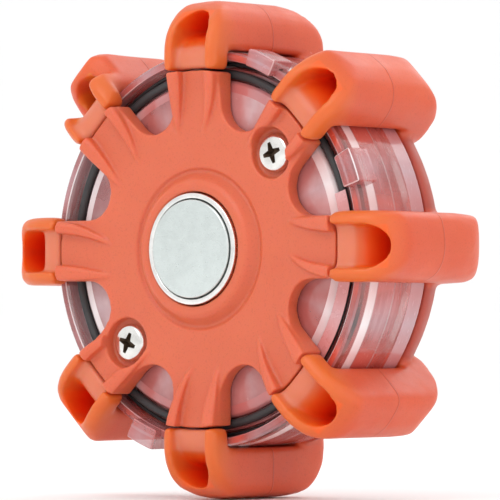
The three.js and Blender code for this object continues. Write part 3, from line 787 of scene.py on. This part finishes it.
def board_material():
    """Pale solder mask with tracks that show through it."""
    m = plain("solder_mask", MASK, 0.35)
    voronoi = m.nodes.new("ShaderNodeTexVoronoi")
    voronoi.inputs["Scale"].default_value = 260
    voronoi.distance = "CHEBYCHEV"
    m.links.new(m.coordinates, voronoi.inputs["Vector"])
    tracks = m.math("LESS_THAN", m.math("FRACT", m.product(voronoi.outputs["Distance"], 3.0)), 0.22)
    m.use("Base Color", m.mix(m.product(tracks, 0.5), MASK, TRACK))
    m.bump(tracks, 0.03)
    return m.material


def led_material(name, colour):
    """Tinted resin that glows a little."""
    m = plain(name, colour, 0.12, 1200, 0.004, 0.9)
    m.set("Alpha", 0.82)
    m.set("Coat Weight", 0.6)
    m.set("Emission Color", (*colour, 1))
    m.set("Emission Strength", 0.05)
    return m.material


RED_LED = led_material("red_led", (0.80, 0.05, 0.04))
WHITE_LED = led_material("white_led", (0.92, 0.88, 0.66))


def led(name, node, angle, radius, size, height, material):
    """A stepped dome on two solder pads. size is the dome's radius."""
    bm = bmesh.new()
    dome = [(0, 0), (size, 0, 0.05), (size, height * 0.28, 0.08), (size * 0.84, height * 0.3, 0.05),
            (size * 0.82, height * 0.6, 0.2), (size * 0.66, height * 0.86, 0.3), (size * 0.3, height, 0.3),
            (0, height)]
    revolve(bm, fillet(dome, 0.1), clock_place(angle, radius, BOARD_FRONT + 0.3), FORWARD, 48)
    add_object(name, finish_mesh(bm, name, 45), material, [node])
    bm = bmesh.new()
    turn = Matrix.Rotation(math.radians(angle), 3, "Y")
    for side in (-1, 1):
        centre = clock_place(angle, radius, BOARD_FRONT + 0.14, side * size * 0.62)
        box_into(bm, centre, (size * 0.5, 0.22, size * 1.5), 0.05, turn)
    add_object(name + "_pads", finish_mesh(bm, name + "_pads", 30), CONTACT)


def resistors():
    """Twelve small blocks in a ring, turned to face the middle."""
    bm = bmesh.new()
    for i in range(12):
        turn = Matrix.Rotation(math.radians(30 * i), 3, "Y")
        box_into(bm, clock_place(30 * i, RESISTOR_CIRCLE, BOARD_FRONT + 0.35), (1.2, 0.6, 2.2), 0.12, turn)
    add_object("board_resistors", finish_mesh(bm, "board_resistors", 30), BLACK)


def chip(right, up):
    """A chip with four legs on each side."""
    bm = bmesh.new()
    box_into(bm, place(right, up, BOARD_FRONT + 0.9), (5, 1.4, 4), 0.2)
    add_object("board_chip", finish_mesh(bm, "board_chip", 30), BLACK)
    bm = bmesh.new()
    for side in (-1, 1):
        for k in range(4):
            foot = place(right + side * 2.9, up + (k - 1.5) * 0.95, BOARD_FRONT + 0.3)
            box_into(bm, foot, (1.0, 0.35, 0.4), 0.05)
    add_object("board_chip_legs", finish_mesh(bm, "board_chip_legs", 30), CONTACT)


dress(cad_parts["circuit_board"], board_material())
for i in range(1, 13):
    led("rim_light_%02d" % i, "rim_led_%02d" % i, 30 * i - 15, RIM_CIRCLE, 1.6, 1.9, RED_LED)
for i in range(1, 5):
    led("torch_light_%d" % i, "torch_led_%d" % i, 90 * i - 45, TORCH_CIRCLE, 2.4, 2.4,
        WHITE_LED)
resistors()
chip(right=-9, up=-9)

# ---------------------------------------------------------------- cells, contacts and switch
WRAP_DARK, WRAP_GOLD = (0.05, 0.055, 0.06), (0.55, 0.30, 0.12)
CELL_HALF = 22.25


def wrapper_material():
    """A dark printed sleeve with a golden band at each end."""
    m = Material("cell_wrapper", WRAP_DARK, 0.3, 0.55)
    gold = m.math("GREATER_THAN", m.math("ABSOLUTE", m.position()[0]), 13)
    m.use("Base Color", m.mix(gold, WRAP_DARK, WRAP_GOLD))
    m.use("Roughness", m.ramp(m.noise(500, 3), [(0.3, 0.24), (0.7, 0.4)]))
    m.bump(m.noise(900, 2), 0.01)
    return m.material


WRAPPER = wrapper_material()


def cell(number, way):
    """An AAA cell that lies across the flare. way is 1 if its nipple points to the right, otherwise -1."""
    low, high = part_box("battery_%d" % number)
    middle = (low + high) / 2
    top, shoulder, base = CELL_HALF, CELL_HALF - 0.95, -CELL_HALF
    bm = bmesh.new()
    revolve(bm, fillet([
        (0, base), (3.4, base, 0.2), (3.6, base + 0.25, 0.1), (4.7, base + 0.25, 0.2),
        (5.2, base + 0.6, 0.3), (5.2, top - 1.5, 0.3), (4.6, shoulder, 0.3), (1.9, shoulder, 0.1),
        (1.85, top, 0.25), (0, top)], 0.2),
        middle, Vector((way, 0, 0)), 72)
    name = "cell_%d" % number
    piece = add_object(name, finish_mesh(bm, name, 35), WRAPPER, ["battery_%d" % number])

    def is_bare(polygon):
        along = (polygon.center.x - middle.x) * way / MM
        return along > top - 1.0 or along < base + 0.3

    mark_faces(piece, CONTACT, is_bare)


for number, way in ((1, 1), (2, -1), (3, 1)):
    cell(number, way)
for i in range(1, 5):
    dress(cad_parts["contact_plate_%d" % i], CONTACT)
dress(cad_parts["battery_tray"], BLACK)
dress(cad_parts["switch_body"], CONTACT)
dress(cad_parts["switch_plunger"], BLACK)


# ---------------------------------------------------------------- push button
def button_mesh():
    """A stepped cap with a raised ring on its face, on a round stem. Heights are from the node's front."""
    bm = bmesh.new()
    stem_end = BUTTON_BACK - BUTTON_FRONT
    revolve(bm, fillet([
        (0, stem_end), (2.4, stem_end), (2.4, -4.0), (9.2, -4.0, 0.1), (9.2, -2.3, 0.3), (8.6, -1.7, 0.3),
        (8.1, -1.7, 0.2), (7.7, -1.2, 0.4), (6.2, -0.45, 0.6), (5.4, -0.4, 0.1), (5.2, -0.15, 0.1),
        (4.2, -0.1, 0.1), (4.0, -0.4, 0.1), (2.0, -0.25), (0, -0.22)], 0.3),
        place(0, 0, BUTTON_FRONT), FORWARD, 96)
    return finish_mesh(bm, "power_button_rubber", 40)


add_object("power_button_rubber", button_mesh(), BUTTON, ["power_button"], body="button")

# ---------------------------------------------------------------- stage and light
scene = bpy.context.scene
scene.view_settings.view_transform = "Standard"

# A flat floor that curves up far from the flare.
bm = bmesh.new()
revolve(bm, [(0, 0), (900, 0), (2600, 0), (3000, 60), (3300, 260), (3500, 700)], Vector((0, 0, 0)),
        Vector((0, 0, 1)), 96, closed=False)
floor = bpy.data.objects.new("floor", finish_mesh(bm, "floor", 80))
scene.collection.objects.link(floor)
dress(floor, Material("floor", (0.96, 0.96, 0.96), 0.8).material)

world = bpy.data.worlds.new("studio")
world.use_nodes = True
background = world.node_tree.nodes["Background"]
background.inputs["Color"].default_value = (1, 1, 1, 1)
background.inputs["Strength"].default_value = 1.05
scene.world = world


def softbox(name, turn, rise, distance, size, power):
    """A square light that faces the middle of the flare. Its distance and size are in metres."""
    data = bpy.data.lights.new(name, "AREA")
    data.shape = "SQUARE"
    data.size = size
    data.energy = power
    light = bpy.data.objects.new(name, data)
    scene.collection.objects.link(light)
    outwards = direction(turn, rise)
    light.location = place(0, 0, 18) + outwards * distance
    light.rotation_mode = "QUATERNION"
    light.rotation_quaternion = outwards.to_track_quat("Z", "Y")
    light.visible_camera = False


softbox("key", 8, 40, 1.3, 0.7, 4)
softbox("fill", 80, 12, 1.4, 0.9, 1.8)
softbox("front", 180, 40, 1.4, 0.9, 3)
